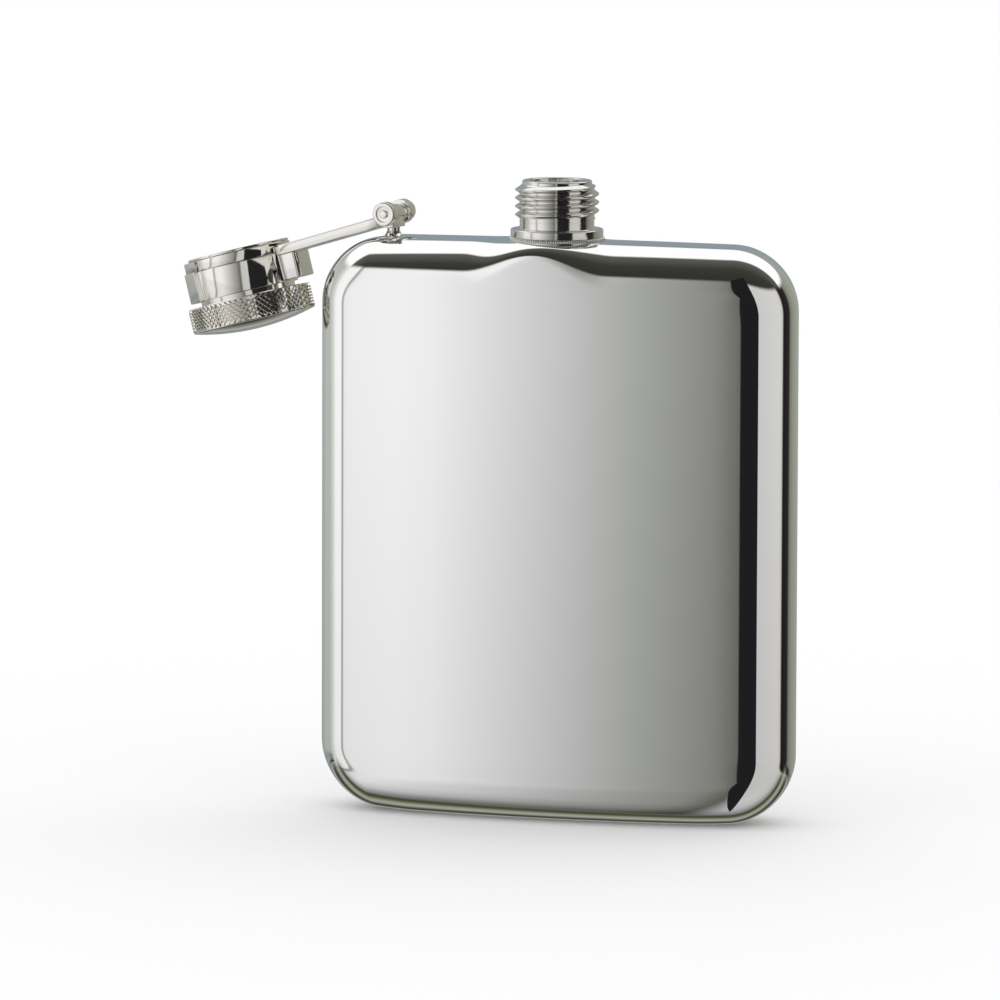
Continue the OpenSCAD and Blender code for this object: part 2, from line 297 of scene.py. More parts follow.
def buildSteel(name, f, p):
    material = bpy.data.materials.new(name)
    material.use_nodes = True
    tree = material.node_tree
    shader = tree.nodes["Principled BSDF"]
    shader.inputs["Metallic"].default_value = 1
    shader.inputs["Base Color"].default_value = (*f["colour"], 1)
    place = newNode(tree, "ShaderNodeTexCoord")
    smear = newNode(tree, "ShaderNodeTexNoise")
    smear.inputs["Scale"].default_value = p["smearScale"]
    smear.inputs["Detail"].default_value = p["smearDetail"]
    tree.links.new(place.outputs["Object"], smear.inputs["Vector"])
    rough = newNode(tree, "ShaderNodeMapRange")
    rough.inputs["From Min"].default_value = p["smearFrom"]
    rough.inputs["From Max"].default_value = p["smearTo"]
    rough.inputs["To Min"].default_value = f["rough"]
    rough.inputs["To Max"].default_value = f["rough"] + f["smear"]
    tree.links.new(smear.outputs[0], rough.inputs["Value"])
    tree.links.new(rough.outputs[0], shader.inputs["Roughness"])
    if f["scratch"]:
        stretch = newNode(tree, "ShaderNodeMapping")
        stretch.inputs["Scale"].default_value = f["grain"]
        tree.links.new(place.outputs["Object"], stretch.inputs["Vector"])
        grain = newNode(tree, "ShaderNodeTexNoise")
        grain.inputs["Scale"].default_value = 1
        grain.inputs["Detail"].default_value = p["grainDetail"]
        tree.links.new(stretch.outputs[0], grain.inputs["Vector"])
        bump = newNode(tree, "ShaderNodeBump")
        bump.inputs["Strength"].default_value = f["scratch"]
        bump.inputs["Distance"].default_value = p["scratchDeep"]
        tree.links.new(grain.outputs[0], bump.inputs["Height"])
        tree.links.new(bump.outputs[0], shader.inputs["Normal"])
    return material


materials = {name: buildSteel(name, f, polish) for name, f in finishes.items()}

liner = {"scale": 700, "dark": (0.78, 0.76, 0.70), "light": (0.86, 0.85, 0.80), "rough": 0.55}


def buildLiner(f):
    material = bpy.data.materials.new("seal_liner")
    material.use_nodes = True
    tree = material.node_tree
    shader = tree.nodes["Principled BSDF"]
    place = newNode(tree, "ShaderNodeTexCoord")
    mottle = newNode(tree, "ShaderNodeTexNoise")
    mottle.inputs["Scale"].default_value = f["scale"]
    tree.links.new(place.outputs["Object"], mottle.inputs["Vector"])
    colour = ramp(tree, mottle.outputs[0], [(0.3, f["dark"]), (0.7, f["light"])])
    tree.links.new(colour, shader.inputs["Base Color"])
    shader.inputs["Roughness"].default_value = f["rough"]
    return material


materials["seal_liner"] = buildLiner(liner)

slots = {row["node"]: row["material_slot"] for row in frame["record"]["subparts"]}
for nodeName, obj in frame["nodes"].items():
    obj.data.materials.clear()
    obj.data.materials.append(materials[slots[nodeName]])
print("materials ready:", len(materials))


def makeMesh(name, points, faces, slot, sharp=35):
    mesh = bpy.data.meshes.new(name)
    mesh.from_pydata([tuple(p) for p in points], [], faces)
    mesh.validate()
    obj = bpy.data.objects.new(name, mesh)
    bpy.context.scene.collection.objects.link(obj)
    mesh.materials.append(materials[slot])
    finishMesh(mesh, sharp)
    return obj


def finishMesh(mesh, sharp):
    for polygon in mesh.polygons:
        polygon.use_smooth = True
    mesh.set_sharp_from_angle(angle=math.radians(sharp))


def settle(obj, body, slot, *nodes):
    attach(obj, body)
    if nodes:
        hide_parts(*nodes)


def bakeModifiers(obj):
    graph = bpy.context.evaluated_depsgraph_get()
    graph.update()
    mesh = bpy.data.meshes.new_from_object(obj.evaluated_get(graph), depsgraph=graph)
    mesh.name = obj.name
    obj.modifiers.clear()
    obj.data = mesh


# Body: the two pressings, bent to a curve, with a seat pressed up round the neck. Sizes in mm.
body = {
    "width": 94, "height": 111.9, "thick": 22, "bend": 175, "corner": 12.6, "edge": 8.5, "wall": 0.8,
    "baseRise": 1.5, "baseLevel": 26, "shoulderFall": 0.5, "reach": 34,
    "seatEdge": 3.4,                        # edge radius beside the neck
    "seatHalf": 13.5, "seatAside": -1.2,    # how far the seat spreads along the shoulder
    "cornerSteps": 36, "sideStep": 1.2, "edgeSteps": 22, "faceRings": 14, "innerEdge": 8, "innerFace": 5,
    "neckHole": 8.0, "holeBelow": 6, "holeAbove": 4, "sharp": 40,
}


def bodyOutline(b):
    halfW, halfH, corner = b["width"] / 2, b["height"] / 2, b["corner"]
    rows = []
    centres = [(1, 1), (-1, 1), (-1, -1), (1, -1)]
    for i, (sx, sz) in enumerate(centres):
        here = np.array([sx * (halfW - corner), sz * (halfH - corner)])
        nx, nz = centres[(i + 1) % 4]
        there = np.array([nx * (halfW - corner), nz * (halfH - corner)])
        for k in range(b["cornerSteps"] + 1):
            a = math.radians(90 * i + 90 * k / b["cornerSteps"])
            rows.append((*here, math.cos(a), math.sin(a)))
        count = max(2, int(np.linalg.norm(there - here) / b["sideStep"]))
        a = math.radians(90 * (i + 1))
        for k in range(1, count):
            rows.append((*(here + (there - here) * k / count), math.cos(a), math.sin(a)))
    return np.array(rows)


def bentPoints(b, u, w, z):
    halfW, height = b["width"] / 2, b["height"]
    past = np.maximum(0, np.abs(u) - b["baseLevel"]) / (halfW - b["baseLevel"])
    low, high = 1 - z / height, z / height
    shaped = z + b["baseRise"] * past ** 2 * low ** 2 - b["shoulderFall"] * (u / b["reach"]) ** 2 * high ** 2
    turn, radius = u / b["bend"], b["bend"] - w
    return np.stack([radius * np.sin(turn), b["bend"] - radius * np.cos(turn), shaped], 1) * mm


def skinRings(b, side, inset, edgeSteps, faceRings):
    outline = bodyOutline(b)
    mid = b["height"] / 2
    aside = outline[:, 0] - b["seatAside"]
    onSeat = (outline[:, 3] > 0.99) & (np.abs(aside) < b["seatHalf"])
    bump = np.where(onSeat, 0.5 + 0.5 * np.cos(np.pi * aside / b["seatHalf"]), 0)
    edge = b["edge"] - (b["edge"] - b["seatEdge"]) * bump
    flat = b["thick"] / 2 - edge
    rings = []

    def addRing(depth, w, shrink=1):
        reachOut = b["corner"] - depth
        u = (outline[:, 0] + outline[:, 2] * reachOut) * shrink
        z = mid + (outline[:, 1] + outline[:, 3] * reachOut) * shrink
        rings.append(bentPoints(b, u, side * w, z))

    addRing(np.full(len(outline), inset), np.zeros(len(outline)))
    for k in range(edgeSteps + 1):
        a = math.pi / 2 * k / edgeSteps
        addRing(inset + (edge - inset) * (1 - math.cos(a)), flat + (edge - inset) * math.sin(a))
    for k in range(1, faceRings):
        addRing(edge, b["thick"] / 2 - inset, 1 - k / faceRings)
    middle = bentPoints(b, np.zeros(1), np.array([side * (b["thick"] / 2 - inset)]), np.array([mid]))
    return rings, middle


def shellHalf(name, b, side):
    outer, outerMiddle = skinRings(b, side, 0, b["edgeSteps"], b["faceRings"])
    inner, innerMiddle = skinRings(b, side, b["wall"], b["innerEdge"], b["innerFace"])
    n = len(outer[0])
    points = np.concatenate([*outer, *inner, outerMiddle, innerMiddle])
    faces = []

    def band(first, second, flip):
        for i in range(n):
            j = (i + 1) % n
            quad = (first + i, first + j, second + j, second + i)
            faces.append(quad[::-1] if flip else quad)

    def fan(first, centre, flip):
        for i in range(n):
            j = (i + 1) % n
            face = (first + i, first + j, centre)
            faces.append(face[::-1] if flip else face)

    outward = side < 0
    for k in range(len(outer) - 1):
        band(k * n, (k + 1) * n, not outward)
    fan((len(outer) - 1) * n, len(points) - 2, not outward)
    start = len(outer) * n
    for k in range(len(inner) - 1):
        band(start + k * n, start + (k + 1) * n, outward)
    fan(start + (len(inner) - 1) * n, len(points) - 1, outward)
    band(0, start, outward)
    obj = makeMesh(name, points, faces, "body_steel", b["sharp"])
    bottom, top = b["height"] - b["holeBelow"], b["height"] + b["holeAbove"]
    cutter = cylinderMesh("neckCutter", b["neckHole"] * mm, bottom * mm, top * mm, 128)
    hole = obj.modifiers.new("hole", "BOOLEAN")
    hole.operation = "DIFFERENCE"
    hole.solver = "EXACT"
    hole.object = cutter
    bakeModifiers(obj)
    bpy.data.objects.remove(cutter)
    finishMesh(obj.data, b["sharp"])
    smoothPanel(obj.data, b, side)
    return obj


# Gives the flat of each pressing the exact direction of its bend, so that reflections run clean across it
def smoothPanel(mesh, b, side):
    points = [vertex.co / mm for vertex in mesh.vertices]
    level = b["bend"] - side * b["thick"] / 2
    onPanel = [abs(math.hypot(x, b["bend"] - y) - level) < 0.0005 for x, y, z in points]
    inside = list(onPanel)
    for edge in mesh.edges:
        first, second = edge.vertices
        if onPanel[first] != onPanel[second]:
            inside[first] = inside[second] = False
    normals = [tuple(corner.vector) for corner in mesh.corner_normals]
    for i, loop in enumerate(mesh.loops):
        if inside[loop.vertex_index]:
            x, y, z = points[loop.vertex_index]
            turn = math.atan2(x, b["bend"] - y)
            normals[i] = (-side * math.sin(turn), side * math.cos(turn), 0)
    mesh.normals_split_custom_set(normals)


def cylinderMesh(name, radius, bottom, top, steps):
    points, faces = [], [tuple(range(steps))[::-1], tuple(range(steps, 2 * steps))]
    for z in (bottom, top):
        for i in range(steps):
            a = 2 * math.pi * i / steps
            points.append((radius * math.cos(a), radius * math.sin(a), z))
    for i in range(steps):
        j = (i + 1) % steps
        faces.append((i, j, steps + j, steps + i))
    mesh = bpy.data.meshes.new(name)
    mesh.from_pydata(points, [], faces)
    obj = bpy.data.objects.new(name, mesh)
    bpy.context.scene.collection.objects.link(obj)
    return obj


for nodeName, side in (("front_shell", -1), ("back_shell", 1)):
    shell = shellHalf(nodeName.replace("_", "-"), body, side)
    settle(shell, "flask", "body_steel", nodeName)
print("body pressed")


def axisMatrix(origin, x, y, z):
    matrix = Matrix((x, y, z)).transposed().to_4x4()
    matrix.translation = origin
    return matrix


# Places: the neck, and the hinge and the cap on their own joint axes
neckPlace = Matrix.Translation((0, 0, body["height"] * mm))
upLine = Vector((0, 0, 1))
pinAt = Vector(joints["arm_hinge"]["pos_m"])
capAt = Vector(joints["cap_turn"]["pos_m"])
pinLine = Vector(joints["arm_hinge"]["axis"]).normalized()
capLine = -Vector(joints["cap_turn"]["axis"]).normalized()
armLine = (capAt - pinAt).normalized()
armPlace = axisMatrix(pinAt, armLine, pinLine, capLine)
capPlace = axisMatrix(capAt, armLine, pinLine, capLine)
postPlace = axisMatrix(pinAt, pinLine.cross(upLine), pinLine, upLine)
acrossPlace = Matrix.Rotation(math.radians(-90), 4, "X")
pole = 0.0001       # radius in mm that stands for the middle of a turned part


# Turned part from a closed profile of (radius, height) points
def revolved(profile, steps):
    n = len(profile)
    points, faces = [], []
    for i in range(steps):
        a = 2 * math.pi * i / steps
        points += [(r * mm * math.cos(a), r * mm * math.sin(a), z * mm) for r, z in profile]
    for i in range(steps):
        j = (i + 1) % steps
        for k in range(n):
            m = (k + 1) % n
            faces.append((i * n + k, j * n + k, j * n + m, i * n + m))
    return points, faces


# The same profile with its corners rounded
def rounded(profile, radii, steps=4):
    n, rows = len(profile), []
    for i, (p, r) in enumerate(zip(profile, radii)):
        p = np.array(p, float)
        if not r:
            rows.append(tuple(p))
            continue
        before, after = np.array(profile[i - 1], float) - p, np.array(profile[(i + 1) % n], float) - p
        lb, la = np.linalg.norm(before), np.linalg.norm(after)
        before, after = before / lb, after / la
        half = math.acos(np.clip(before @ after, -1, 1)) / 2
        back = min(r / math.tan(half), 0.49 * lb, 0.49 * la)
        r = back * math.tan(half)
        centre = p + (before + after) / np.linalg.norm(before + after) * r / math.sin(half)
        start, end = p + before * back - centre, p + after * back - centre
        turn = math.atan2(start[0] * end[1] - start[1] * end[0], start @ end)
        for k in range(steps + 1):
            c, s = math.cos(turn * k / steps), math.sin(turn * k / steps)
            rows.append(tuple(centre + np.array([start[0] * c - start[1] * s, start[0] * s + start[1] * c])))
    return rows


# One piece from closed parts, each given as (points, faces)
def solid(name, parts, place, slot, sharp=30):
    points, faces = [], []
    for partPoints, partFaces in parts:
        start = len(points)
        points += [place @ Vector(p) for p in partPoints]
        faces += [tuple(start + i for i in f) for f in partFaces]
    obj = makeMesh(name, points, faces, slot, sharp)
    bm = bmesh.new()
    bm.from_mesh(obj.data)
    bmesh.ops.remove_doubles(bm, verts=bm.verts, dist=1e-8)
    bmesh.ops.recalc_face_normals(bm, faces=bm.faces)
    bm.to_mesh(obj.data)
    bm.free()
    finishMesh(obj.data, sharp)
    return obj


# Plate that is the same on both sides of y = 0: upper and hole run along y >= 0, from one end to the other
def slab(upper, hole, low, high):
    count = len(upper)
    outer = [(x, y) for x, y in upper] + [(x, -y) for x, y in upper[-2:0:-1]]
    inner = [(x, y) for x, y in hole] + [(x, -y) for x, y in hole[-2:0:-1]] if hole else []
    n, m = len(outer), len(inner)
    total = n + m
    points = [(x * mm, y * mm, z * mm) for z in (low, high) for x, y in outer + inner]
    loops = [list(range(n))]
    if hole:
        h = len(hole)
        back = [(h - 1 + i) % m for i in range(m - h + 2)]
        loops = [
            list(range(count)) + [n + i for i in range(h - 1, -1, -1)],
            [(count - 1 + i) % n for i in range(n - count + 2)] + [n + i for i in back[::-1]],
        ]
    faces = []
    for level, flip in ((0, False), (total, True)):
        for loop in loops:
            face = [level + i for i in loop]
            faces.append(tuple(face[::-1] if flip else face))
    for i in range(n):
        j = (i + 1) % n
        faces.append((i, j, total + j, total + i))
    for i in range(m):
        j = (i + 1) % m
        faces.append((n + i, total + n + i, total + n + j, n + j))
    return points, faces


def arc(radius, start, end, steps, centre=(0, 0)):
    angles = [math.radians(start + (end - start) * k / steps) for k in range(steps + 1)]
    return [(centre[0] + radius * math.cos(a), centre[1] + radius * math.sin(a)) for a in angles]


def bevelled(obj, width, segments=3, limit=30, sharp=40):
    modifier = obj.modifiers.new("bevel", "BEVEL")
    modifier.width = width * mm
    modifier.segments = segments
    modifier.limit_method = "ANGLE"
    modifier.angle_limit = math.radians(limit)
    bakeModifiers(obj)
    finishMesh(obj.data, sharp)
    return obj


# Several closed parts made into one piece
def joined(name, parts, sharp=35):
    bm = bmesh.new()
    for part in parts:
        bm.from_mesh(part.data)
    mesh = bpy.data.meshes.new(name)
    bm.to_mesh(mesh)
    bm.free()
    mesh.materials.append(parts[0].data.materials[0])
    for part in parts:
        bpy.data.objects.remove(part)
    obj = bpy.data.objects.new(name, mesh)
    bpy.context.scene.collection.objects.link(obj)
    finishMesh(mesh, sharp)
    return obj


def ground(name, profile, radii, place, slot, steps=96, sharp=45, rings=6):
    return solid(name, [revolved(rounded(profile, radii, rings), steps)], place, slot, sharp)


# Geometry Nodes trees: each ends in Realize Instances and Set Material
def newTree(name, **sockets):
    tree = bpy.data.node_groups.new(name, "GeometryNodeTree")
    tree.interface.new_socket("Geometry", in_out="INPUT", socket_type="NodeSocketGeometry")
    for key, value in sockets.items():
        kind = "NodeSocketInt" if isinstance(value, int) else "NodeSocketFloat"
        if key == "material":
            kind = "NodeSocketMaterial"
        tree.interface.new_socket(key, in_out="INPUT", socket_type=kind)
    tree.interface.new_socket("Geometry", in_out="OUTPUT", socket_type="NodeSocketGeometry")
    return tree, newNode(tree, "NodeGroupInput"), newNode(tree, "NodeGroupOutput")


def wire(tree, source, node, socket):
    if isinstance(source, (int, float, tuple, bool)):
        node.inputs[socket].default_value = source
    else:
        tree.links.new(source, node.inputs[socket])


def grow(tree, kind, inputs=None, **values):
    node = newNode(tree, kind, **values)
    for socket, source in (inputs or {}).items():
        wire(tree, source, node, socket)
    return node


def closeTree(tree, geometry, given, out):
    real = grow(tree, "GeometryNodeRealizeInstances", {0: geometry})
    painted = grow(tree, "GeometryNodeSetMaterial", {
        "Geometry": real.outputs[0], "Material": given.outputs["material"],
    })
    tree.links.new(painted.outputs[0], out.inputs[0])


# Runs a tree once and keeps the result as a plain mesh
def grown(name, tree, place, slot, sharp=30, **sockets):
    obj = bpy.data.objects.new(name, bpy.data.meshes.new(name))
    bpy.context.scene.collection.objects.link(obj)
    modifier = obj.modifiers.new("nodes", "NODES")
    modifier.node_group = tree
    ids = {item.name: item.identifier for item in tree.interface.items_tree if item.in_out == "INPUT"}
    for key, value in {**sockets, "material": materials[slot]}.items():
        modifier[ids[key]] = value
    bakeModifiers(obj)
    obj.data.transform(place)
    if not obj.data.materials:
        obj.data.materials.append(materials[slot])
    finishMesh(obj.data, sharp)
    return obj


# Neck: turned spout, with its thread as a swept ridge. Heights are above the shoulder.
neck = {
    "bore": 5.4, "rim": 6.7, "top": 11.4, "plain": 7.16, "root": 7.18,
    "flange": 8.9, "flangeBottom": 0.5, "flangeTop": 2.1, "spigot": 7.9, "spigotBottom": -3.6,
    "crest": 8.05, "pitch": 1.6, "turns": 4.1, "threadBottom": 3.9, "ridge": 1.56, "crestWidth": 0.26,
    "sunk": 0.12,           # how far the ridge reaches into the neck
    "soft": 0.11,           # rounding of the ridge
    "runOut": 22.0,         # the ridge fades in and out over 1/22 of its length
    "steps": 160,
}


def neckBody(k):
    profile = [
        (k["bore"], k["spigotBottom"]), (k["spigot"], k["spigotBottom"]), (k["spigot"], k["flangeBottom"]),
        (k["flange"], k["flangeBottom"]), (k["flange"], k["flangeTop"]), (k["plain"], k["flangeTop"]),
        (k["plain"], 3.5), (k["root"], 3.65), (k["root"], k["top"] - 1.15), (k["rim"], k["top"] - 0.75),
        (k["rim"], k["top"]), (k["bore"], k["top"]),
    ]
    radii = [0.3, 0.3, 0.05, 0.15, 0.28, 0.18, 0.05, 0.05, 0.12, 0.12, 0.32, 0.28]
    return solid("neck-body", [revolved(rounded(profile, radii, 6), k["steps"])], neckPlace, "neck_steel", 50)


def threadTree(k):
    tree, given, out = newTree(
        "screwThread", radius=1.0, pitch=1.0, turns=1.0, depth=1.0, ridge=1.0, crest=1.0, material=None,
    )
    g = given.outputs
    helix = grow(tree, "GeometryNodeCurveSpiral", {
        "Resolution": 96, "Rotations": g["turns"], "Start Radius": g["radius"], "End Radius": g["radius"],
        "Height": maths(tree, "MULTIPLY", g["pitch"], g["turns"]), "Reverse": True,
    })
    upright = grow(tree, "GeometryNodeSetCurveNormal", {"Curve": helix.outputs[0]}, mode="Z_UP")
    section = grow(tree, "GeometryNodeCurvePrimitiveQuadrilateral", {
        "Height": g["depth"], "Bottom Width": g["ridge"], "Top Width": g["crest"], "Offset": 0.0,
    }, mode="TRAPEZOID")
    soft = grow(tree, "GeometryNodeFilletCurve", {
        "Curve": section.outputs[0], "Radius": k["soft"] * mm, "Limit Radius": True, "Count": 3,
    }, mode="POLY")
    shift = newNode(tree, "ShaderNodeCombineXYZ")
    tree.links.new(maths(tree, "MULTIPLY", g["depth"], 0.5), shift.inputs[1])
    moved = grow(tree, "GeometryNodeTransform", {
        "Geometry": soft.outputs[0], "Translation": shift.outputs[0],
    })
    turned = grow(tree, "GeometryNodeTransform", {
        "Geometry": moved.outputs[0], "Rotation": (0.0, 0.0, math.radians(-90)),
    })
    along = newNode(tree, "GeometryNodeSplineParameter").outputs["Factor"]
    rise = maths(tree, "MULTIPLY", along, k["runOut"], clamp=True)
    fall = maths(tree, "MULTIPLY", maths(tree, "SUBTRACT", 1.0, along), k["runOut"], clamp=True)
    taper = maths(tree, "MAXIMUM", maths(tree, "MINIMUM", rise, fall), 0.05)
    sweep = grow(tree, "GeometryNodeCurveToMesh", {
        "Curve": upright.outputs[0], "Profile Curve": turned.outputs[0], "Scale": taper, "Fill Caps": True,
    })
    closeTree(tree, sweep.outputs[0], given, out)
    return tree


thread = grown(
    "neck-thread", threadTree(neck), neckPlace @ Matrix.Translation((0, 0, neck["threadBottom"] * mm)),
    "neck_steel", 50, radius=(neck["root"] - neck["sunk"]) * mm, pitch=neck["pitch"] * mm, turns=neck["turns"],
    depth=(neck["crest"] - neck["root"] + neck["sunk"]) * mm, ridge=neck["ridge"] * mm,
    crest=neck["crestWidth"] * mm,
)
settle(joined("neck-spout", [neckBody(neck), thread], 45), "flask", "neck_steel", "neck")

# Weld under the flange: a fillet with a ring of small beads
weld = {
    "radius": 8.88, "thick": 0.35, "rise": 0.16, "beads": 122, "smallest": 0.92, "largest": 1.06, "seed": 7,
    "inner": 8.0, "foot": 9.1, "waist": 8.95, "waistRise": 0.3, "top": 8.8, "low": -0.5, "high": 0.5,
}


def weldTree(w):
    tree, given, out = newTree("weldBeads", radius=1.0, beads=1, size=1.0, material=None)
    g = given.outputs
    path = grow(tree, "GeometryNodeCurvePrimitiveCircle", {"Resolution": 256, "Radius": g["radius"]})
    spots = grow(tree, "GeometryNodeResampleCurve", {"Curve": path.outputs[0], "Count": g["beads"]})
    dots = grow(tree, "GeometryNodeCurveToPoints", {"Curve": spots.outputs[0], "Count": g["beads"]})
    ball = grow(tree, "GeometryNodeMeshUVSphere", {"Segments": 16, "Rings": 10, "Radius": g["size"]})
    vary = newNode(tree, "FunctionNodeRandomValue", data_type="FLOAT")
    vary.inputs[2].default_value = w["smallest"]
    vary.inputs[3].default_value = w["largest"]
    vary.inputs["Seed"].default_value = w["seed"]
    put = grow(tree, "GeometryNodeInstanceOnPoints", {
        "Points": dots.outputs[0], "Instance": ball.outputs[0],
        "Rotation": dots.outputs["Rotation"], "Scale": vary.outputs[1],
    })
    closeTree(tree, put.outputs[0], given, out)
    return tree


def weldFillet(w):
    profile = [
        (w["inner"], w["low"]), (w["foot"], w["low"]), (w["waist"], w["waistRise"]),
        (w["top"], w["high"]), (w["inner"], w["high"]),
    ]
    return ground("weld-fillet", profile, [0.02, 0.08, 0.2, 0.1, 0.02], neckPlace, "weld_steel", 192, 50, 4)


beads = grown(
    "weld-beads", weldTree(weld), neckPlace @ Matrix.Translation((0, 0, weld["rise"] * mm)), "weld_steel", 60,
    radius=weld["radius"] * mm, beads=weld["beads"], size=weld["thick"] * mm,
)
settle(joined("neck-weld", [weldFillet(weld), beads], 60), "flask", "weld_steel", "neck_weld")
print("neck and weld built")

# Hinge: heights are from the pin's axis
hinge = {
    "barrel": 1.65, "half": 2.8, "bore": 0.85,
    "foot": 1.75, "footLow": -4.9, "stem": 1.22, "stemTop": -2.3,
    "webHalf": 1.2, "webLow": -2.75, "webHigh": -0.9,
    "ear": 2.35, "fork": 4.75, "slotHalf": 2.85, "recess": 1.5, "recessDepth": 0.35,
    "pin": 0.8, "pinFront": 0.1, "pinBack": 2.0,
    "nut": 2.0, "nutNeck": 1.55, "nutStep": 0.95, "nutLong": 1.4,
}


def hingePost(h):
    half = h["half"]
    barrelProfile = [(h["bore"], -half), (h["barrel"], -half), (h["barrel"], half), (h["bore"], half)]
    barrel = ground("barrel", barrelProfile, [0.05, 0.18, 0.18, 0.05], postPlace @ acrossPlace, "arm_steel")
    stemProfile = [
        (pole, h["footLow"]), (h["foot"], h["footLow"]), (1.7, -4.2), (1.45, -3.95),
        (h["stem"], -3.4), (h["stem"], h["stemTop"]), (pole, h["stemTop"]),
    ]
    stem = ground("stem", stemProfile, [0, 0, 0.12, 0.15, 0.3, 0, 0], postPlace, "arm_steel")
    w = h["webHalf"]
    outline = [(-w, 0), (-w, half - 0.1), (w, half - 0.1), (w, 0)]
    web = solid("web", [slab(outline, None, h["webLow"], h["webHigh"])], postPlace, "arm_steel")
    return joined("hinge-post", [barrel, stem, bevelled(web, 0.16)], 45)


def hingePin(h, place):
    front, back = -h["fork"] - h["pinFront"], h["fork"] + h["pinBack"]
    profile = [(pole, front), (h["pin"], front), (h["pin"], back), (pole, back)]
    return ground("hinge-pin", profile, [0, 0.2, 0.3, 0], place, "arm_steel", 64)


def hingeNut(h, place):
    start = h["fork"]
    step, end = start + h["nutStep"], start + h["nutLong"]
    profile = [(h["pin"], start), (h["nut"], start), (h["nut"], step), (h["nutNeck"], end), (h["pin"], end)]
    return ground("hinge-nut", profile, [0.02, 0.1, 0.25, 0.2, 0.1], place, "arm_steel", 64)


pinPlace = armPlace @ acrossPlace
settle(hingePost(hinge), "flask", "arm_steel", "hinge_post")
settle(hingePin(hinge, pinPlace), "arm", "arm_steel", "hinge_pin")
settle(hingeNut(hinge, pinPlace), "arm", "arm_steel", "hinge_nut")

# Arm: forked bar, two ears and the thin upper ring. The bar is cranked a little, so that the ring stands proud.
arm = {
    "reach": 34.7, "low": 0.1, "high": 2.1, "ringOut": 10.1, "ringIn": 9.38,
    "barWide": 4.62, "barNarrow": 3.6, "barTurn": 4.7, "barTaper": 13.6, "barEnd": 9.5,
    "forkStart": 1.75, "slot": 3.2, "slotHalf": 2.85, "blockHalf": 9.1, "blockEnd": 9.72,
    "steps": 64, "crank": 1.7, "barBevel": 0.28, "ringBevel": 0.16,
}


def armBar(a):
    outline = [
        (a["slot"], 0), (a["slot"], a["slotHalf"]), (a["forkStart"], a["slotHalf"]),
        (a["forkStart"], a["barWide"]), (a["barTurn"], a["barWide"]),
        (a["reach"] - a["barTaper"], a["barNarrow"]), (a["reach"] - a["barEnd"], a["barNarrow"]),
        (a["reach"] - a["barEnd"], 0),
    ]
    return slab(outline, None, a["low"], a["high"])


def armRing(a):
    reach, half, end = a["reach"], a["blockHalf"], a["blockEnd"]
    stop = math.degrees(math.asin(half * 0.93 / a["ringOut"]))
    outer = arc(a["ringOut"], 180, stop, a["steps"], (reach, 0))
    outer += [(reach + half * 0.60, half * 0.985), (reach + end, half * 0.55), (reach + end, 0)]
    return slab(outer, arc(a["ringIn"], 180, 0, a["steps"], (reach, 0)), a["low"], a["high"])


def armEars(h, place):
    start, end, floor = h["slotHalf"], h["fork"], h["fork"] - h["recessDepth"]
    front = [
        (h["pin"], -start), (h["ear"], -start), (h["ear"], -end), (h["recess"], -end),
        (h["recess"], -floor), (h["pin"], -floor),
    ]
    back = [(h["pin"], start), (h["ear"], start), (h["ear"], end), (h["pin"], end)]
    return [
        ground("ear", front, [0.02, 0.12, 0.35, 0.12, 0.05, 0.02], place, "arm_steel", 72),
        ground("ear", back, [0.02, 0.12, 0.3, 0.02], place, "arm_steel", 72),
    ]


crank = Matrix.Rotation(math.radians(-arm["crank"]), 4, "Y")
barPart = solid("arm-bar", [armBar(arm)], armPlace @ crank, "arm_steel")
armRingPart = solid("arm-ring", [armRing(arm)], armPlace, "arm_steel")
armParts = [bevelled(barPart, arm["barBevel"], 2, 40, 45), bevelled(armRingPart, arm["ringBevel"], 3, 40, 45)]
settle(joined("arm-plate", armParts + armEars(hinge, pinPlace), 45), "arm", "arm_steel", "arm_plate")

# Collar: the deep ring under the thin one, with a boss under the arm
collar = {
    "low": 2.13, "high": 8.0, "out": 10.1, "bore": 9.38, "blockHalf": 9.45, "blockEnd": 10.08,
    "bossEnd": 13.6, "bossHalf": 3.2, "bossLow": 2.11, "bossHigh": 7.7, "bossCorner": 0.9,
    "bossFillet": 2.0,      # hollow on each side of the boss, where it meets the ring
    "bossRoot": 9.7, "steps": 72, "bevel": 0.16, "bossBevel": 0.42,
}


def collarRing(c):
    half, end = c["blockHalf"], c["blockEnd"]
    outer = arc(c["out"], 180, math.degrees(math.asin(half * 0.93 / c["out"])), c["steps"])
    outer += [(half * 0.62, half * 0.99), (end, half * 0.55), (end, 0)]
    return slab(outer, arc(c["bore"], 180, 0, c["steps"]), c["low"], c["high"])


def bossBlock(c):
    half, hollow, corner, end = c["bossHalf"], c["bossFillet"], c["bossCorner"], -c["bossEnd"]
    x = -math.sqrt((c["out"] + hollow) ** 2 - (half + hollow) ** 2)
    stop = math.degrees(math.atan2(half + hollow, x))
    outline = [(end, 0)] + arc(corner, 180, 90, 8, (end + corner, half - corner))
    outline += arc(hollow, -90, stop - 180, 10, (x, half + hollow)) + arc(c["bossRoot"], stop, 180, 9)
    outline[-1] = (outline[-1][0], 0)
    return slab(outline, None, c["bossLow"], c["bossHigh"])


ringPart = solid("collar-ring", [collarRing(collar)], capPlace, "arm_steel")
bossPart = solid("boss", [bossBlock(collar)], capPlace, "arm_steel")
collarParts = [bevelled(ringPart, collar["bevel"], 3, 40, 45), bevelled(bossPart, collar["bossBevel"], 4, 40, 45)]
settle(joined("collar-ring-boss", collarParts, 45), "arm", "arm_steel", "collar")
print("arm and hinge built")

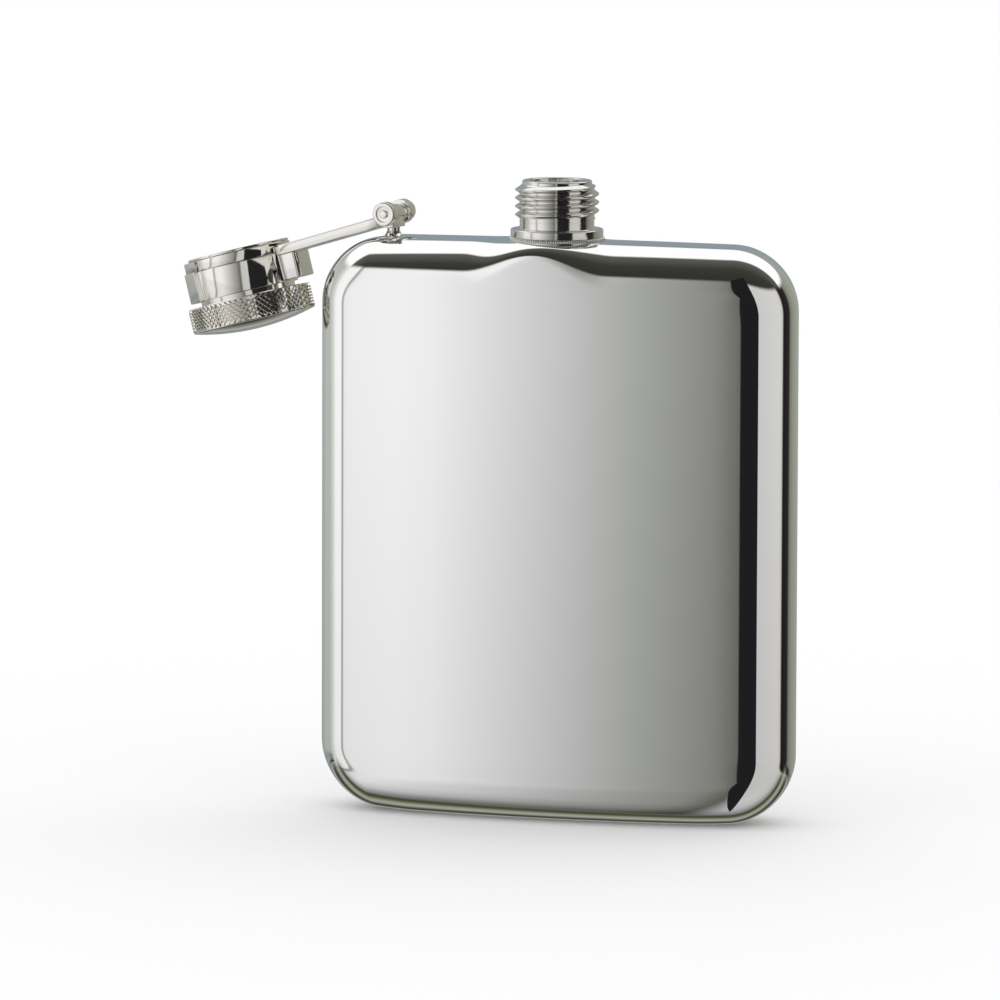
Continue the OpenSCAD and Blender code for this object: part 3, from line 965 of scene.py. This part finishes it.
# Cap: retaining ring, sleeve, seal and knurled head. Heights run from the sleeve's open end to the dome.
retainer = {"in": 9.05, "out": 9.95, "low": -0.45, "high": 0.03}
sleeve = {"out": 9.3, "bore": 8.65, "low": -0.45, "high": 10.85, "rebate": 9.0, "step": 0.05, "roof": 1}
seal = {"low": 8.65, "high": 9.84, "edge": 8.64, "grooveIn": 5.2, "grooveOut": 7.05, "deep": 0.15}


def retainingRing(r):
    profile = [(r["in"], r["low"]), (r["out"], r["low"]), (r["out"], r["high"]), (r["in"], r["high"])]
    return ground("retaining-ring", profile, [0.05, 0.15, 0.08, 0.03], capPlace, "arm_steel", 160)


def capSleeve(s):
    ceiling = s["high"] - s["roof"]
    profile = [
        (s["bore"], s["low"]), (s["rebate"], s["low"]), (s["rebate"], s["step"]), (s["out"], s["step"]),
        (s["out"], s["high"]), (pole, s["high"]), (pole, ceiling), (s["bore"], ceiling),
    ]
    return ground("cap-sleeve", profile, [0.1, 0.1, 0.02, 0.05, 0.1, 0, 0, 0.1], capPlace, "cap_steel", 160)


def capSeal(s):
    low, floor = s["low"], s["low"] + s["deep"]
    profile = [
        (pole, low), (s["grooveIn"], low), (s["grooveIn"] + s["deep"], floor),
        (s["grooveOut"] - s["deep"], floor), (s["grooveOut"], low), (s["edge"], low),
        (s["edge"], s["high"]), (pole, s["high"]),
    ]
    return ground("cap-seal", profile, [0, 0.1, 0.1, 0.1, 0.1, 0.15, 0, 0], capPlace, "seal_liner", 128)


settle(retainingRing(retainer), "retainer", "arm_steel", "retaining_ring")
settle(capSleeve(sleeve), "cap", "cap_steel", "cap_sleeve")
settle(capSeal(seal), "cap", "seal_liner", "cap_seal")

head = {
    "bore": 9.3, "low": 8.97, "high": 13.8, "dome": 15.4, "floor": 10.85, "rim": 12.06, "domeInset": 0.12,
    "root": 11.9, "crest": 12.13, "bandLow": 9.06, "bandHigh": 13.72,      # knurled band
    "count": 70, "rows": 7, "flat": 0.46, "sunk": 0.03,                    # its diamonds
    "domeSteps": 28, "steps": 184,
}


def headBody(h):
    rise, r = h["dome"] - h["high"], h["rim"] - h["domeInset"]
    ball = (r * r + rise * rise) / (2 * rise)
    profile = [
        (pole, h["floor"]), (h["bore"], h["floor"]), (h["bore"], h["low"]), (h["rim"] - 0.15, h["low"]),
        (h["rim"], h["low"] + 0.12), (h["rim"], h["bandLow"] + 0.02), (h["root"], h["bandLow"] + 0.1),
        (h["root"], h["bandHigh"] - 0.1), (h["rim"], h["bandHigh"] - 0.02), (h["rim"], h["high"] - 0.1),
    ]
    for k in range(h["domeSteps"], -1, -1):
        x = r * (k / h["domeSteps"])
        profile.append((max(x, pole), h["dome"] - ball + math.sqrt(ball * ball - x * x)))
    return solid("head-body", [revolved(profile, h["steps"])], capPlace, "cap_steel", 28)


def knurlTree():
    tree, given, out = newTree(
        "diamondKnurl", radius=1.0, count=1, rows=1, step=1.0, wide=1.0, tall=1.0, deep=1.0, flat=0.1,
        material=None,
    )
    g = given.outputs
    stud = grow(tree, "GeometryNodeMeshCone", {
        "Vertices": 4, "Side Segments": 1, "Fill Segments": 1,
        "Radius Top": g["flat"], "Radius Bottom": 1.0, "Depth": 1.0,
    }, fill_type="NGON")
    spots = grow(tree, "GeometryNodePoints", {"Count": maths(tree, "MULTIPLY", g["count"], g["rows"])})
    order = newNode(tree, "GeometryNodeInputIndex").outputs[0]
    row = maths(tree, "FLOOR", maths(tree, "DIVIDE", order, g["count"]))
    stagger = maths(tree, "MULTIPLY", maths(tree, "MODULO", row, 2.0), 0.5)
    part = maths(tree, "DIVIDE", maths(tree, "ADD", order, stagger), g["count"])
    turn = maths(tree, "MULTIPLY", part, 2 * math.pi)
    spot = newNode(tree, "ShaderNodeCombineXYZ")
    wire(tree, maths(tree, "MULTIPLY", maths(tree, "COSINE", turn), g["radius"]), spot, 0)
    wire(tree, maths(tree, "MULTIPLY", maths(tree, "SINE", turn), g["radius"]), spot, 1)
    wire(tree, maths(tree, "MULTIPLY", row, g["step"]), spot, 2)
    moved = grow(tree, "GeometryNodeSetPosition", {"Geometry": spots.outputs[0], "Position": spot.outputs[0]})
    facing = newNode(tree, "ShaderNodeCombineXYZ")
    wire(tree, math.pi / 2, facing, 1)
    wire(tree, turn, facing, 2)
    rotation = newNode(tree, "FunctionNodeEulerToRotation")
    tree.links.new(facing.outputs[0], rotation.inputs[0])
    size = newNode(tree, "ShaderNodeCombineXYZ")
    wire(tree, maths(tree, "MULTIPLY", g["tall"], 0.5), size, 0)
    wire(tree, maths(tree, "MULTIPLY", g["wide"], 0.5), size, 1)
    wire(tree, g["deep"], size, 2)
    put = grow(tree, "GeometryNodeInstanceOnPoints", {
        "Points": moved.outputs[0], "Instance": stud.outputs[0],
        "Rotation": rotation.outputs[0], "Scale": size.outputs[0],
    })
    closeTree(tree, put.outputs[0], given, out)
    return tree


rowStep = (head["bandHigh"] - head["bandLow"]) / (head["rows"] + 1)
knurl = grown(
    "head-knurl", knurlTree(), capPlace @ Matrix.Translation((0, 0, (head["bandLow"] + rowStep) * mm)),
    "cap_steel", 20, radius=(head["root"] - head["sunk"]) * mm, count=head["count"], rows=head["rows"],
    step=rowStep * mm, wide=2 * math.pi * head["root"] / head["count"] * mm, tall=2 * rowStep * mm,
    deep=(head["crest"] - head["root"] + head["sunk"]) * mm, flat=head["flat"],
)
settle(joined("cap-head", [headBody(head), knurl], 28), "cap", "cap_steel", "cap_head")
print("cap built")
